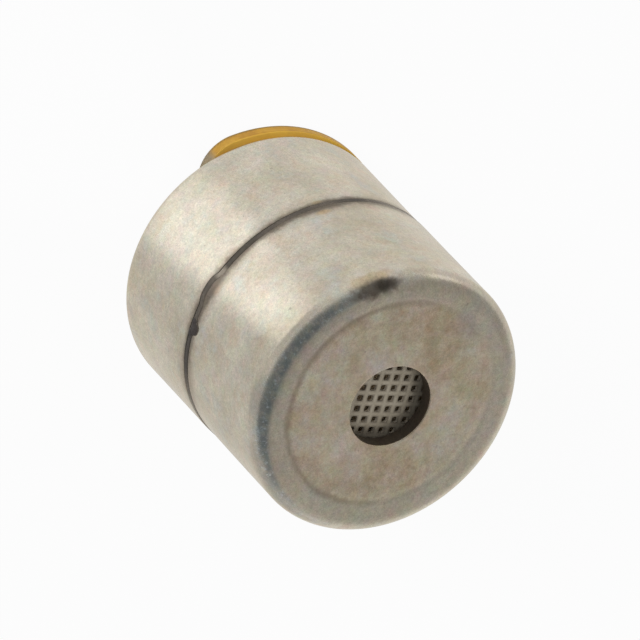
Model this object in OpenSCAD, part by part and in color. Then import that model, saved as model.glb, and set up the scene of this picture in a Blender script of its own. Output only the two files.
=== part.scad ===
// Cylindrical electret microphone capsule, standing on its terminals with the sound port up.
// Millimetres. The capsule's axis is Z, and Z = 0 is the flat underside of the solder.

/* [Case] */
// Outside diameter of both drawn cups
case_d = 2.59; // [2.55:0.01:4]
// Length of the case, from the rear cup's flat end to the front face
case_len = 2.67; // [2.6:0.01:4]
// Sheet thickness of the cups
case_wall = 0.15; // [0.12:0.01:0.18]
// Outside rounding between the front face and the wall
front_corner_r = 0.18; // [0.05:0.01:0.25]
// Outside rounding between the rear end and the wall
rear_corner_r = 0.13; // [0.05:0.01:0.25]
// Inside rounding at the bottom of each cup
inner_corner_r = 0.03; // [0.01:0.01:0.05]

/* [Joint of the cups] */
// Height of the seam over the rear end, on the axis
seam_height = 1.23; // [1:0.01:1.35]
// How far the seam leans off square
seam_tilt = 3.2; // [0:0.1:5]
// Direction in which the seam runs highest, counted from +X
seam_turn = -150; // [-180:1:180]
// Width of the open seam between the two rims
joint_gap = 0.06; // [0.02:0.005:0.08]
// How far the adhesive in the seam lies below the case surface
seal_recess = 0.015; // [0.01:0.005:0.08]
// Room between the adhesive and the neck
seal_clearance = 0.005; // [0.002:0.001:0.01]
// Wall of the rear cup's neck, which plugs into the front cup
neck_wall = 0.12; // [0.08:0.01:0.15]
// Room between the neck and the front cup
neck_clearance = 0.015; // [0.005:0.005:0.03]

/* [Sound port] */
// Diameter of the sound port
port_d = 0.78; // [0.5:0.01:0.9]
// Diameter of the coined ring on the front face, at the middle of its groove
coined_ring_d = 2; // [1.2:0.01:2.1]
// Width of the coined groove
coined_ring_w = 0.06; // [0.02:0.005:0.08]
// Depth of the coined groove
coined_ring_depth = 0.01; // [0.005:0.001:0.03]
// Diameter of the screen behind the port
screen_d = 1.44; // [1.3:0.01:1.7]
// Thickness of the screen
screen_t = 0.03; // [0.02:0.005:0.05]
// Distance from one screen hole to the next
screen_pitch = 0.1035; // [0.1:0.0005:0.15]
// Width of a square screen hole
screen_hole = 0.058; // [0.04:0.002:0.08]
// Turn of the rows of holes from the X axis
screen_turn = -19.6; // [-45:0.1:45]
// Thickness of the adhesive between screen and face
bond_t = 0.03; // [0.01:0.005:0.05]
// Width of the adhesive ring
bond_w = 0.16; // [0.08:0.01:0.18]
// How far the screen holes run past the edge of the port
screen_margin = 0.06; // [0.02:0.01:0.08]

/* [Capacitor stack] */
// Room between the stack and the front cup's bore
stack_clearance = 0.015; // [0.005:0.005:0.03]
// Height of the diaphragm ring, which sets the front chamber
ring_h = 0.25; // [0.15:0.01:0.3]
// Width of the diaphragm ring and of the spacer
ring_w = 0.2; // [0.15:0.01:0.24]
// Thickness of the diaphragm film
film_t = 0.012; // [0.01:0.001:0.02]
// Thickness of the spacer, which is the air gap of the capacitor
spacer_t = 0.04; // [0.02:0.005:0.06]
// Thickness of the charged film on the backplate
electret_t = 0.02; // [0.01:0.005:0.03]
// Thickness of the backplate
backplate_t = 0.2; // [0.1:0.01:0.25]
// Wall of the holder round the backplate
holder_wall = 0.12; // [0.08:0.01:0.14]
// Room between the backplate and its holder
backplate_clearance = 0.01; // [0.005:0.005:0.02]
// Width of the holder's ledge under the backplate
ledge_w = 0.12; // [0.08:0.01:0.15]
// Number of holes round the backplate
vent_count = 6; // [4:1:8]
// Diameter of a backplate hole
vent_d = 0.16; // [0.1:0.01:0.2]
// Diameter of the circle of backplate holes
vent_circle_d = 1; // [0.8:0.05:1.2]

/* [Amplifier] */
// Height of the contact ring between backplate and substrate
gate_ring_h = 0.2; // [0.15:0.01:0.22]
// Width of the contact ring
gate_ring_w = 0.12; // [0.08:0.01:0.15]
// Room between the contact ring and the holder
gate_clearance = 0.02; // [0.01:0.005:0.03]
// Thickness of the ceramic substrate
substrate_t = 0.2; // [0.15:0.01:0.22]
// Diameter of the substrate's two pressure holes
relief_d = 0.16; // [0.1:0.01:0.2]
// Distance between the two pressure holes
relief_pitch = 0.6; // [0.5:0.05:0.7]
// Distance of the pressure holes from the axis, towards the leads
relief_row = 0.5; // [0.45:0.01:0.55]
// Side of the square transistor chip
die_w = 0.45; // [0.3:0.01:0.5]
// Height of the transistor chip
die_t = 0.12; // [0.08:0.01:0.2]
// Distance of the transistor chip from the axis, away from the leads
die_row = 0.2; // [0.15:0.01:0.3]
// Length of a chip capacitor
capacitor_len = 0.5; // [0.4:0.01:0.55]
// Width and height of a chip capacitor
capacitor_w = 0.25; // [0.2:0.01:0.3]
// Length of a capacitor's metal end
capacitor_end = 0.12; // [0.08:0.01:0.15]
// How far the metal ends stand proud of the ceramic
capacitor_proud = 0.015; // [0.01:0.005:0.03]
// Distance between the two capacitors
capacitor_pitch = 1.1; // [1:0.05:1.2]
// Distance of the capacitors from the axis, away from the leads
capacitor_row = 0.35; // [0.3:0.01:0.4]

/* [Terminals] */
// Thickness of the terminal board
board_t = 0.12; // [0.08:0.01:0.2]
// Distance of the board's flat from the axis
board_flat = 0.45; // [0.42:0.01:0.7]
// Rounding where the flat meets the round edge
board_corner_r = 0.38; // [0.25:0.01:0.42]
// Distance from one terminal to the next
pad_pitch = 0.62; // [0.55:0.01:0.65]
// Width of a terminal pad
pad_w = 0.42; // [0.3:0.01:0.48]
// Length of a terminal pad
pad_len = 1; // [0.8:0.01:1.1]
// Distance of the pads' middle from the axis, away from the flat
pad_row = 0.15; // [0.15:0.01:0.2]
// Rounding of a pad's corners
pad_corner_r = 0.1; // [0.05:0.01:0.14]
// Thickness of a terminal pad
pad_t = 0.02; // [0.015:0.005:0.04]
// Thickness of the solder on a pad
solder_t = 0.05; // [0.03:0.01:0.1]
// Rim of bare pad round the solder
solder_inset = 0.02; // [0.01:0.005:0.04]
// Diameter of a lead wire
lead_d = 0.1; // [0.08:0.01:0.12]
// Room round a lead in the board and the pads
lead_clearance = 0.01; // [0.005:0.005:0.02]
// Diameter of an insulating bead round a lead
bead_d = 0.3; // [0.2:0.01:0.35]
// Distance of the row of leads from the axis
lead_row = 0.35; // [0.3:0.01:0.4]

/* [Hidden] */
$fn = 96;
TERMINALS = ["ground", "output", "supply"];

satin_steel = [0.77, 0.74, 0.67];
warm_steel = [0.80, 0.77, 0.70];
nickel = [0.72, 0.71, 0.68];
brass = [0.78, 0.63, 0.32];
copper = [0.75, 0.45, 0.28];
gold = [0.88, 0.70, 0.32];
tin = [0.78, 0.79, 0.80];
amber = [0.77, 0.57, 0.19];
dark_adhesive = [0.16, 0.13, 0.10];
clear_film = [0.80, 0.80, 0.74];
ivory_plastic = [0.86, 0.82, 0.70];
white_ceramic = [0.92, 0.91, 0.88];
glass_bead = [0.35, 0.45, 0.40];
silicon = [0.30, 0.31, 0.35];
capacitor_tan = [0.66, 0.52, 0.36];

// Radii from the case inwards
case_r = case_d / 2;
bore_r = case_r - case_wall;
stack_r = bore_r - stack_clearance;
neck_r = bore_r - neck_clearance;
neck_bore_r = neck_r - neck_wall;
backplate_r = stack_r - holder_wall - backplate_clearance;
ledge_bore_r = backplate_r - ledge_w;
gate_ring_r = ledge_bore_r - gate_clearance;
port_r = port_d / 2;
screen_r = screen_d / 2;

// Heights from the terminals up
pad_z = solder_t;
board_z = pad_z + pad_t;
rear_z = board_z + board_t;
floor_z = rear_z + case_wall;
seam_z = rear_z + seam_height;

// Heights from the front face down
front_z = rear_z + case_len;
face_z = front_z - case_wall;
screen_z = face_z - bond_t - screen_t;
film_z = face_z - ring_h - film_t;
spacer_z = film_z - spacer_t;
electret_z = spacer_z - electret_t;
backplate_z = electret_z - backplate_t;
substrate_top_z = backplate_z - gate_ring_h;
substrate_z = substrate_top_z - substrate_t;

// Inside, the rear cup narrows to its neck in a 45 degree slope below the seam's lowest point
seam_rise = case_r * tan(seam_tilt);
neck_step = bore_r - neck_bore_r;
neck_z = seam_z - seam_rise - joint_gap - neck_step;

// The seal's bore clears the upright neck although the seal lies along the leaning seam
seal_r = case_r - seal_recess;
seal_bore_r = neck_r / cos(seam_tilt) + seal_clearance;

// Screen holes lie where the port uncovers the screen, with a solid rim outside
screen_open_r = port_r + screen_margin;
screen_rows = ceil(screen_open_r / screen_pitch);
hole_corner_d = screen_hole * (1 + sqrt(2)) / 2;

// Length of the boxes that cut at the seam
cutter = 2 * (case_d + case_len);
// Cuts run past the faces that they open by this much
over = 0.1;

function terminal_x(i) = (i - 1) * pad_pitch;

// Half outline of a cup that stands on Z = 0, with its rounded end at the top
module cup_outline(r, height, corner) {
    square([r - corner, height]);
    square([r, height - corner]);
    translate([r - corner, height - corner]) circle(corner);
}

// Turns a half outline over, so that its rounded end points down from the given height
module upside_down(height) {
    translate([0, height]) mirror([0, 1]) children();
}

module ring(outer, inner, height) {
    linear_extrude(height) difference() {
        circle(outer);
        circle(inner);
    }
}

// The plane of the seam, leaning towards its highest side
module lean() {
    translate([0, 0, seam_z])
        rotate(seam_turn)
            rotate([0, -seam_tilt, 0])
                children();
}

module above_seam() {
    lean() translate([-cutter / 2, -cutter / 2, joint_gap / 2]) cube(cutter);
}

module below_seam() {
    lean() translate([-cutter / 2, -cutter / 2, -cutter - joint_gap / 2]) cube(cutter);
}

module at_terminal(i) {
    translate([terminal_x(i), lead_row, 0]) children();
}

module vent_holes(height) {
    for (i = [0 : vent_count - 1])
        rotate(i * 360 / vent_count)
            translate([vent_circle_d / 2, 0, -over])
                cylinder(d = vent_d, h = height + 2 * over);
}

module front_cup() {
    color(satin_steel) intersection() {
        rotate_extrude() difference() {
            cup_outline(case_r, front_z, front_corner_r);
            cup_outline(bore_r, face_z, inner_corner_r);
            square([port_r, front_z + over]);
            translate([coined_ring_d / 2 - coined_ring_w / 2, front_z - coined_ring_depth])
                square([coined_ring_w, over]);
        }
        above_seam();
    }
}

module rear_cup() {
    color(warm_steel) difference() {
        union() {
            intersection() {
                rotate_extrude() upside_down(front_z) cup_outline(case_r, case_len, rear_corner_r);
                below_seam();
            }
            translate([0, 0, floor_z]) cylinder(r = neck_r, h = substrate_z - floor_z);
        }
        rotate_extrude() {
            upside_down(neck_z) cup_outline(bore_r, neck_z - floor_z, inner_corner_r);
            polygon([
                [0, neck_z],
                [bore_r, neck_z],
                [neck_bore_r, neck_z + neck_step],
                [neck_bore_r, substrate_z + over],
                [0, substrate_z + over]
            ]);
        }
        for (i = [0 : len(TERMINALS) - 1])
            at_terminal(i) translate([0, 0, rear_z - over])
                cylinder(d = bead_d, h = case_wall + 2 * over);
    }
}

module joint_seal() {
    color(dark_adhesive) lean()
        translate([0, 0, -joint_gap / 2]) ring(seal_r, seal_bore_r, joint_gap);
}

// One square hole with its corners rounded off
module screen_opening() {
    intersection() {
        square(screen_hole, center = true);
        circle(d = hole_corner_d);
    }
}

module port_screen() {
    color(nickel) translate([0, 0, screen_z]) linear_extrude(screen_t) difference() {
        circle(screen_r);
        rotate(screen_turn)
            for (row = [-screen_rows : screen_rows])
                for (column = [-screen_rows : screen_rows])
                    if (norm([row, column]) * screen_pitch < screen_open_r)
                        translate([column, row] * screen_pitch) screen_opening();
    }
}

module screen_bond() {
    color(dark_adhesive) translate([0, 0, face_z - bond_t]) ring(screen_r, screen_r - bond_w, bond_t);
}

// The ring's upper edge is bevelled to clear the rounding inside the front cup
module diaphragm_ring() {
    bevel = inner_corner_r + stack_clearance;
    color(brass) translate([0, 0, face_z - ring_h]) rotate_extrude() polygon([
        [stack_r - ring_w, 0],
        [stack_r, 0],
        [stack_r, ring_h - bevel],
        [stack_r - bevel, ring_h],
        [stack_r - ring_w, ring_h]
    ]);
}

module diaphragm() {
    color(clear_film) translate([0, 0, film_z]) cylinder(r = stack_r, h = film_t);
}

module gap_spacer() {
    color(amber) translate([0, 0, spacer_z]) ring(stack_r, stack_r - ring_w, spacer_t);
}

module electret_layer() {
    color(clear_film) translate([0, 0, electret_z]) difference() {
        cylinder(r = backplate_r, h = electret_t);
        vent_holes(electret_t);
    }
}

module backplate() {
    color(nickel) translate([0, 0, backplate_z]) difference() {
        cylinder(r = backplate_r, h = backplate_t);
        vent_holes(backplate_t);
    }
}

module backplate_holder() {
    seat_r = backplate_r + backplate_clearance;
    color(ivory_plastic) rotate_extrude() polygon([
        [ledge_bore_r, substrate_top_z],
        [stack_r, substrate_top_z],
        [stack_r, spacer_z],
        [seat_r, spacer_z],
        [seat_r, backplate_z],
        [ledge_bore_r, backplate_z]
    ]);
}

module gate_ring() {
    color(copper) translate([0, 0, substrate_top_z])
        ring(gate_ring_r, gate_ring_r - gate_ring_w, gate_ring_h);
}

module amplifier_substrate() {
    color(white_ceramic) translate([0, 0, substrate_z]) difference() {
        cylinder(r = stack_r, h = substrate_t);
        for (side = [-1, 1])
            translate([side * relief_pitch / 2, relief_row, -over])
                cylinder(d = relief_d, h = substrate_t + 2 * over);
    }
}

module transistor_die() {
    color(silicon) translate([-die_w / 2, -die_row - die_w / 2, substrate_z - die_t])
        cube([die_w, die_w, die_t]);
}

// A ceramic block with a metal cap on each end, which touch the substrate
module chip_capacitor(x) {
    body_w = capacitor_w - 2 * capacitor_proud;
    translate([x, -capacitor_row, substrate_z - capacitor_w / 2]) {
        cube([body_w, capacitor_len - capacitor_end, body_w], center = true);
        for (end = [-1, 1])
            translate([0, end * (capacitor_len - capacitor_end) / 2, 0])
                cube([capacitor_w, capacitor_end, capacitor_w], center = true);
    }
}

module filter_capacitor() {
    color(capacitor_tan) chip_capacitor(-capacitor_pitch / 2);
}

module coupling_capacitor() {
    color(capacitor_tan) chip_capacitor(capacitor_pitch / 2);
}

// A round board of the case's diameter with one flat, each corner an arc that meets both smoothly
module board_outline() {
    corner_y = board_corner_r - board_flat;
    corner_x = sqrt(pow(case_r - board_corner_r, 2) - pow(corner_y, 2));
    left = [-corner_x, corner_y];
    right = [corner_x, corner_y];
    difference() {
        circle(case_r);
        polygon([[0, 0], 2 * left, [-case_d, -case_d], [case_d, -case_d], 2 * right]);
    }
    polygon([[0, 0], left, [-corner_x, -board_flat], [corner_x, -board_flat], right]);
    for (corner = [left, right]) translate(corner) circle(board_corner_r);
}

module terminal_board() {
    color(amber) translate([0, 0, board_z]) difference() {
        linear_extrude(board_t) board_outline();
        for (i = [0 : len(TERMINALS) - 1])
            at_terminal(i) translate([0, 0, -over])
                cylinder(d = lead_d + 2 * lead_clearance, h = board_t + 2 * over);
    }
}

// A rectangle with rounded corners, centred on a terminal
module pad_outline(width, length, corner) {
    square([width - 2 * corner, length], center = true);
    square([width, length - 2 * corner], center = true);
    for (x = [-1, 1], y = [-1, 1])
        translate([x * (width / 2 - corner), y * (length / 2 - corner)]) circle(corner);
}

module terminal_lead(i) {
    color(tin) at_terminal(i) translate([0, 0, pad_z]) cylinder(d = lead_d, h = substrate_z - pad_z);
}

module terminal_bead(i) {
    color(glass_bead) at_terminal(i) translate([0, 0, rear_z]) ring(bead_d / 2, lead_d / 2, case_wall);
}

module terminal_pad(i) {
    color(gold) difference() {
        translate([terminal_x(i), pad_row, pad_z])
            linear_extrude(pad_t) pad_outline(pad_w, pad_len, pad_corner_r);
        at_terminal(i) translate([0, 0, pad_z - over])
            cylinder(d = lead_d + 2 * lead_clearance, h = pad_t + 2 * over);
    }
}

module terminal_solder(i) {
    inset = 2 * solder_inset;
    color(tin) translate([terminal_x(i), pad_row, 0])
        linear_extrude(solder_t) pad_outline(pad_w - inset, pad_len - inset, pad_corner_r - solder_inset);
}

front_cup();
rear_cup();
joint_seal();
port_screen();
screen_bond();
diaphragm_ring();
diaphragm();
gap_spacer();
electret_layer();
backplate();
backplate_holder();
gate_ring();
amplifier_substrate();
transistor_die();
filter_capacitor();
coupling_capacitor();
terminal_board();
for (i = [0 : len(TERMINALS) - 1]) {
    terminal_lead(i);
    terminal_bead(i);
    terminal_pad(i);
    terminal_solder(i);
}
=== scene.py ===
"""Finished look of a sub-miniature electret microphone capsule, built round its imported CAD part."""

import math

import bmesh
import bpy
from mathutils import Matrix, Vector


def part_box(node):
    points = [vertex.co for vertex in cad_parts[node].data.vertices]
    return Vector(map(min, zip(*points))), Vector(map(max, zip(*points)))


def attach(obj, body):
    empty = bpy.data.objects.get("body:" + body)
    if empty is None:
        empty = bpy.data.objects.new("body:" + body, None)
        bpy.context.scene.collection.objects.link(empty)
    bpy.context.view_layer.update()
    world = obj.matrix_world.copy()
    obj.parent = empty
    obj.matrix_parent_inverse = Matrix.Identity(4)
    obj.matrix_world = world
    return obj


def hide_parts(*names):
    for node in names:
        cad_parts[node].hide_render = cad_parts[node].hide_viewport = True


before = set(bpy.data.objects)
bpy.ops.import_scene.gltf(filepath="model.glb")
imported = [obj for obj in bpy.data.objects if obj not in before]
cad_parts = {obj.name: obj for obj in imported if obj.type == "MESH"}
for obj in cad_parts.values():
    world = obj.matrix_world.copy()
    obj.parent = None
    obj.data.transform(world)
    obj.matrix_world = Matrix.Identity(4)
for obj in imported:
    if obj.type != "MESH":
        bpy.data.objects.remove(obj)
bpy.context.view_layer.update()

# Sizes are in millimetres and bearings in degrees from +X. Meshes are made in metres.
MM = 0.001


def box_of(node):
    """Lowest and highest corner of a CAD node, in millimetres."""
    return [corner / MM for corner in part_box(node)]


def heading(bearing):
    """Level unit vector in the direction of a bearing."""
    angle = math.radians(bearing)
    return Vector((math.cos(angle), math.sin(angle), 0))


BOARD_LOW, BOARD_HIGH = box_of("terminal_board")
SCREEN_LOW, SCREEN_HIGH = box_of("port_screen")
SUBSTRATE_LOW, SUBSTRATE_HIGH = box_of("amplifier_substrate")
BACKPLATE_LOW, BACKPLATE_HIGH = box_of("backplate")
ELECTRET_LOW, ELECTRET_HIGH = box_of("electret_layer")
FILM_LOW, FILM_HIGH = box_of("diaphragm")
RING_LOW, RING_HIGH = box_of("diaphragm_ring")
SPACER_LOW, SPACER_HIGH = box_of("gap_spacer")
PAD_LOW, PAD_HIGH = box_of("output_pad")
SOLDER_LOW, SOLDER_HIGH = box_of("output_solder")
LEAD_LOW, LEAD_HIGH = box_of("output_lead")
BEAD_LOW, BEAD_HIGH = box_of("output_bead")

# Case
CASE_R = BOARD_HIGH.x
CASE_WALL = 0.15
FRONT_Z = box_of("front_cup")[1].z
REAR_Z = BOARD_HIGH.z
FACE_Z = RING_HIGH.z
FLOOR_Z = BEAD_HIGH.z
BORE_R = CASE_R - CASE_WALL
FRONT_CORNER = 0.18
REAR_CORNER = 0.13
INNER_CORNER = 0.03
RIM_DRAFT = 0.004
RIM_R = CASE_R - RIM_DRAFT
RIM_EDGE = 0.008
RIM_STAND = 0.004
FINE_EDGE = 0.006
DENT_DEPTH = 0.005
DENT_SIZE = 1.1

# How near to the outside a point still counts as lying on it
SURFACE = 0.02

# Joint of the two cups, a leaning plane that runs highest towards SEAM_BEARING
REAR_LENGTH = 1.23
SEAM_Z = REAR_Z + REAR_LENGTH
SEAM_GAP = 0.06
SEAM_TILT = 3.2
SEAM_BEARING = -150
SEAM_SLOPE = math.tan(math.radians(SEAM_TILT))
SEAM_LEAN = heading(SEAM_BEARING) * SEAM_SLOPE
KINK_ANGLE = 20
KINK_HALF_WIDTH = 8
KINK_EDGE = math.cos(math.radians(KINK_HALF_WIDTH))
KINK_RISE = -0.045
SEAL_DROP = 0.002
SEAL_R = CASE_R - SEAL_DROP
SEAL_EDGE = 0.008
SEAL_CLEARANCE = 0.005
SEAL_DEPTH = 0.08
STAIN_AND_SHADE_RISE = 0.008
NECK_CLEARANCE = 0.015
NECK_WALL = 0.12
NECK_EDGE = 0.004
NECK_R = BORE_R - NECK_CLEARANCE
NECK_BORE_R = NECK_R - NECK_WALL
NECK_STEP = BORE_R - NECK_BORE_R
NECK_Z = SEAM_Z - CASE_R * SEAM_SLOPE - SEAM_GAP - NECK_STEP

# Face and sound port
PORT_R = 0.39
PORT_EDGE = 0.01
COINED_R = 0.99
COINED_W = 0.1
COINED_DEPTH = 0.006
COINED_EDGE = 0.2
COINED_BOTTOM = 0.15
COINED_SHIFT = Vector((-0.041, -0.010, 0))
COINED_REACH = 0.125
COINED_FADE = 0.06
SCREEN_R = SCREEN_HIGH.x
SCREEN_PITCH = 0.1035
SCREEN_HOLE = 0.058
SCREEN_HOLE_CORNER = SCREEN_HOLE * 0.28
SCREEN_TURN = -19.6
SCREEN_MARGIN = 0.06
SCREEN_SHIFT = Vector((0.018, -0.005, 0))
BOND_W = 0.16

# Inner stack
STACK_R = RING_HIGH.x
RING_W = 0.2
RING_BORE_R = STACK_R - RING_W
RING_BEVEL = INNER_CORNER + 0.015
PLATE_R = BACKPLATE_HIGH.x
PLATE_CLEARANCE = 0.01
GATE_R = box_of("gate_ring")[1].x
GATE_W = 0.12
GATE_CLEARANCE = 0.02
VENT_COUNT = 6
VENT_ROW_R = 0.5
VENT_R = 0.08
RELIEF_X = 0.3
RELIEF_Y = 0.5
RELIEF_R = 0.08

# Terminals
PAD_PITCH = 0.62
LEAD_R = (LEAD_HIGH.x - LEAD_LOW.x) / 2
BEAD_R = (BEAD_HIGH.x - BEAD_LOW.x) / 2
LEAD_ROW = (LEAD_LOW.y + LEAD_HIGH.y) / 2
LEAD_CLEARANCE = 0.01
LEAD_HOLE = LEAD_R + LEAD_CLEARANCE
BOARD_CORNER = 0.38
PAD_CORNER = 0.1
PAD_ROW = (PAD_LOW.y + PAD_HIGH.y) / 2
TERMINALS = {"ground": -PAD_PITCH, "output": 0, "supply": PAD_PITCH}

# Where the photograph was taken from
CAMERA_BEARING = -147
CAMERA_ELEVATION = 49.33
CAMERA_ROLL = 136.604
CAMERA_DISTANCE = 123.45
CAMERA_LENS = 795.3
AIM_Z = 1.485
AIM_RIGHT = 0.007
AIM_UP = 0.0979

# Where a lamp lights the floor, by its angle beside the camera and its distance from the axis
POOL_ANGLE = 7
POOL_REACH = 2.95

# Points closer than this are one point, and small round holes and wires have this many sides
WELD = 1e-4 * MM
SMALL_ROUND = 48


def raised(side, elevation):
    """A level unit vector tipped up to an elevation."""
    way = side * math.cos(math.radians(elevation))
    way.z = math.sin(math.radians(elevation))
    return way


def beside_camera(angle):
    """Level unit vector at an angle from the camera's bearing, positive on the photo's left side."""
    return heading(CAMERA_BEARING + angle)


# Node building


class Nodes:
    """Adds nodes to a tree. An input takes a plain value, or another node's output to link."""

    def __init__(self, tree):
        self.tree = tree

    def add(self, kind, inputs=None, **settings):
        node = self.tree.nodes.new(kind)
        for setting, value in settings.items():
            setattr(node, setting, value)
        for key, value in (inputs or {}).items():
            if isinstance(value, bpy.types.NodeSocket):
                self.tree.links.new(value, node.inputs[key])
            else:
                node.inputs[key].default_value = value
        return node

    def out(self, kind, inputs=None, **settings):
        """Adds a node and gives its first output."""
        return self.add(kind, inputs, **settings).outputs[0]

    def math(self, operation, *values):
        return self.out("ShaderNodeMath", dict(enumerate(values)), operation=operation)

    def vector(self, operation, *values):
        node = self.add("ShaderNodeVectorMath", dict(enumerate(values)), operation=operation)
        single = operation in ("DOT_PRODUCT", "LENGTH", "DISTANCE")
        return node.outputs["Value" if single else "Vector"]

    def fade(self, value, start, end):
        """0 where the value is at start, rising smoothly to 1 where it is at end."""
        node = self.add(
            "ShaderNodeMapRange",
            {"Value": value, "From Min": start, "From Max": end},
            interpolation_type="SMOOTHSTEP",
        )
        return node.outputs["Result"]

    def overlap(self, *patterns):
        """1 only where every pattern is 1."""
        product = patterns[0]
        for pattern in patterns[1:]:
            product = self.math("MULTIPLY", product, pattern)
        return product

    def across(self, place, angle):
        """How far a place lies from the axis, towards an angle beside the camera."""
        return self.vector("DOT_PRODUCT", place, tuple(beside_camera(angle)))

    def tones(self, factor, *stops):
        """A colour ramp through (position, colour) stops."""
        node = self.add("ShaderNodeValToRGB", {"Fac": factor})
        ramp = node.color_ramp
        ramp.elements[0].position, ramp.elements[0].color = stops[0][0], (*stops[0][1], 1)
        ramp.elements[1].position, ramp.elements[1].color = stops[-1][0], (*stops[-1][1], 1)
        for position, colour in stops[1:-1]:
            ramp.elements.new(position).color = (*colour, 1)
        return node.outputs["Color"]

    def blend(self, factor, under, over):
        """One colour over another. Each is a plain colour or another node's output."""
        under, over = (c if isinstance(c, bpy.types.NodeSocket) else (*c, 1) for c in (under, over))
        return self.add("ShaderNodeMix", {0: factor, 6: under, 7: over}, data_type="RGBA").outputs[2]


class Finish(Nodes):
    """A material with a Principled shader, whose patterns lie on Object coordinates in millimetres."""

    def __init__(self, name, sockets=None):
        self.material = bpy.data.materials.new(name)
        self.material.use_nodes = True
        super().__init__(self.material.node_tree)
        self.shader = self.tree.nodes["Principled BSDF"]
        for socket, value in (sockets or {}).items():
            self.shader.inputs[socket].default_value = value
        metres = self.add("ShaderNodeTexCoord").outputs["Object"]
        self.place = self.out("ShaderNodeMapping", {"Vector": metres, "Scale": (1 / MM,) * 3})

    def level(self):
        """Height of a point."""
        return self.add("ShaderNodeSeparateXYZ", {"Vector": self.place}).outputs["Z"]

    def from_axis(self):
        """Distance of a point from the capsule's axis."""
        return self.vector("LENGTH", self.vector("MULTIPLY", self.place, (1, 1, 0)))

    def side(self, angle, start, end):
        """Fades in across the capsule, towards an angle beside the camera."""
        return self.fade(self.across(self.place, angle), start, end)

    def seen_from(self, centre, turn, sizes):
        """The place of a point from a centre, along turned axes and measured in the given sizes."""
        inputs = {
            "Vector": self.place,
            "Location": centre,
            "Rotation": (0, 0, math.radians(turn)),
            "Scale": sizes,
        }
        return self.out("ShaderNodeMapping", inputs, vector_type="TEXTURE")

    def noise(self, per_mm, detail=3, roughness=0.5, stretch=(1, 1, 1)):
        """Noise from 0 to 1 with features of about one over per_mm, drawn out by the stretch."""
        squeezed = self.vector("DIVIDE", self.place, stretch)
        inputs = {"Vector": squeezed, "Scale": per_mm, "Detail": detail, "Roughness": roughness}
        return self.add("ShaderNodeTexNoise", inputs).outputs["Fac"]

    def mottle(self, under, where, strength, over):
        """Lays a colour over another one where a pattern says, at a strength from 0 to 1."""
        return self.blend(self.math("MULTIPLY", where, strength), under, over)

    def tint(self, colour, *layers):
        """Lightens and darkens a colour by (noise, amount) layers, evenly about its own tone."""
        factor = 1.0
        for noise, amount in layers:
            factor = self.math("MULTIPLY_ADD", self.math("SUBTRACT", noise, 0.5), amount, factor)
        return self.out("ShaderNodeVectorMath", {0: colour, "Scale": factor}, operation="SCALE")

    def flecks(self, colour, per_mm, amount):
        """Scatters warm and cool flecks, from a noise that is unlike in red, green and blue."""
        inputs = {"Vector": self.place, "Scale": per_mm, "Detail": 6, "Roughness": 0.75}
        noise = self.add("ShaderNodeTexNoise", inputs).outputs["Color"]
        factor = self.vector("MULTIPLY_ADD", noise, (amount,) * 3, (1 - amount / 2,) * 3)
        return self.vector("MULTIPLY", colour, factor)

    def spot(self, angle, radius, level, half_sizes, ragged=0.35, per_mm=14):
        """1 inside a ragged spot at an angle beside the camera, fading softly to 0."""
        centre = beside_camera(angle) * radius
        centre.z = level
        distance = self.vector("LENGTH", self.seen_from(centre, CAMERA_BEARING + angle, half_sizes))
        wobble = self.math("MULTIPLY", self.math("SUBTRACT", self.noise(per_mm, 3), 0.5), 2 * ragged)
        return self.fade(self.math("ADD", distance, wobble), 1.25, 0.4)

    def use(self, colour, roughness, height, relief=0.001):
        """Links the finished patterns to the shader. Relief is the bump's height in millimetres."""
        bump = self.out("ShaderNodeBump", {"Height": height, "Distance": relief * MM, "Strength": 1.0})
        self.tree.links.new(bump, self.shader.inputs["Normal"])
        self.tree.links.new(colour, self.shader.inputs["Base Color"])
        if roughness is not None:
            self.tree.links.new(roughness, self.shader.inputs["Roughness"])
        return self.material


# Materials

# The tarnished steel stays warm where it is seen edge-on
EDGE_TINT = (0.97, 0.935, 0.87, 1)
STEEL_RELIEF = 0.0009


def shaded(colour, factor):
    return tuple(channel * factor for channel in colour)


def seam_distance(finish):
    """Height of a point above or below the band of stain and painted shade, which lies a little to the
    front of the seam.
    """
    lean = finish.vector("DOT_PRODUCT", finish.place, (-SEAM_LEAN.x, -SEAM_LEAN.y, 1))
    return finish.math("ABSOLUTE", finish.math("SUBTRACT", lean, SEAM_Z + STAIN_AND_SHADE_RISE))


def seam_height(angle, radius):
    """Height of the leaning seam at an angle beside the camera."""
    return SEAM_Z + (beside_camera(angle) * radius).dot(SEAM_LEAN)


def tumbled_steel(finish, pale, dull):
    """Colour, roughness and height of barrel-tumbled steel, with soft clouds and warm tarnish."""
    clouds = finish.noise(1.7, 4, 0.6)
    colour = finish.tones(clouds, (0.3, dull), (0.7, pale))
    tarnish = finish.noise(3.5, 4, 0.6)
    colour = finish.mottle(colour, finish.fade(tarnish, 0.5, 0.72), 0.42, (0.58, 0.465, 0.33))
    colour = finish.mottle(colour, finish.fade(tarnish, 0.48, 0.28), 0.5, (0.64, 0.645, 0.61))
    grain = finish.noise(30, 4, 0.75)
    roughness = finish.math("MULTIPLY_ADD", clouds, 0.08, 0.16)
    roughness = finish.math("MULTIPLY_ADD", grain, 0.1, roughness)
    return colour, roughness, grain


def satin_grain(finish, colour):
    """Fine flecks of the satin surface and a few small pits."""
    colour = finish.flecks(colour, 7, 0.3)
    colour = finish.tint(colour, (finish.noise(26, 3, 0.6), 0.42), (finish.noise(75, 2, 0.6), 0.6))
    pits = finish.noise(17, 2, 0.5)
    return finish.mottle(colour, finish.fade(pits, 0.29, 0.2), 0.5, (0.25, 0.22, 0.18))


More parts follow.
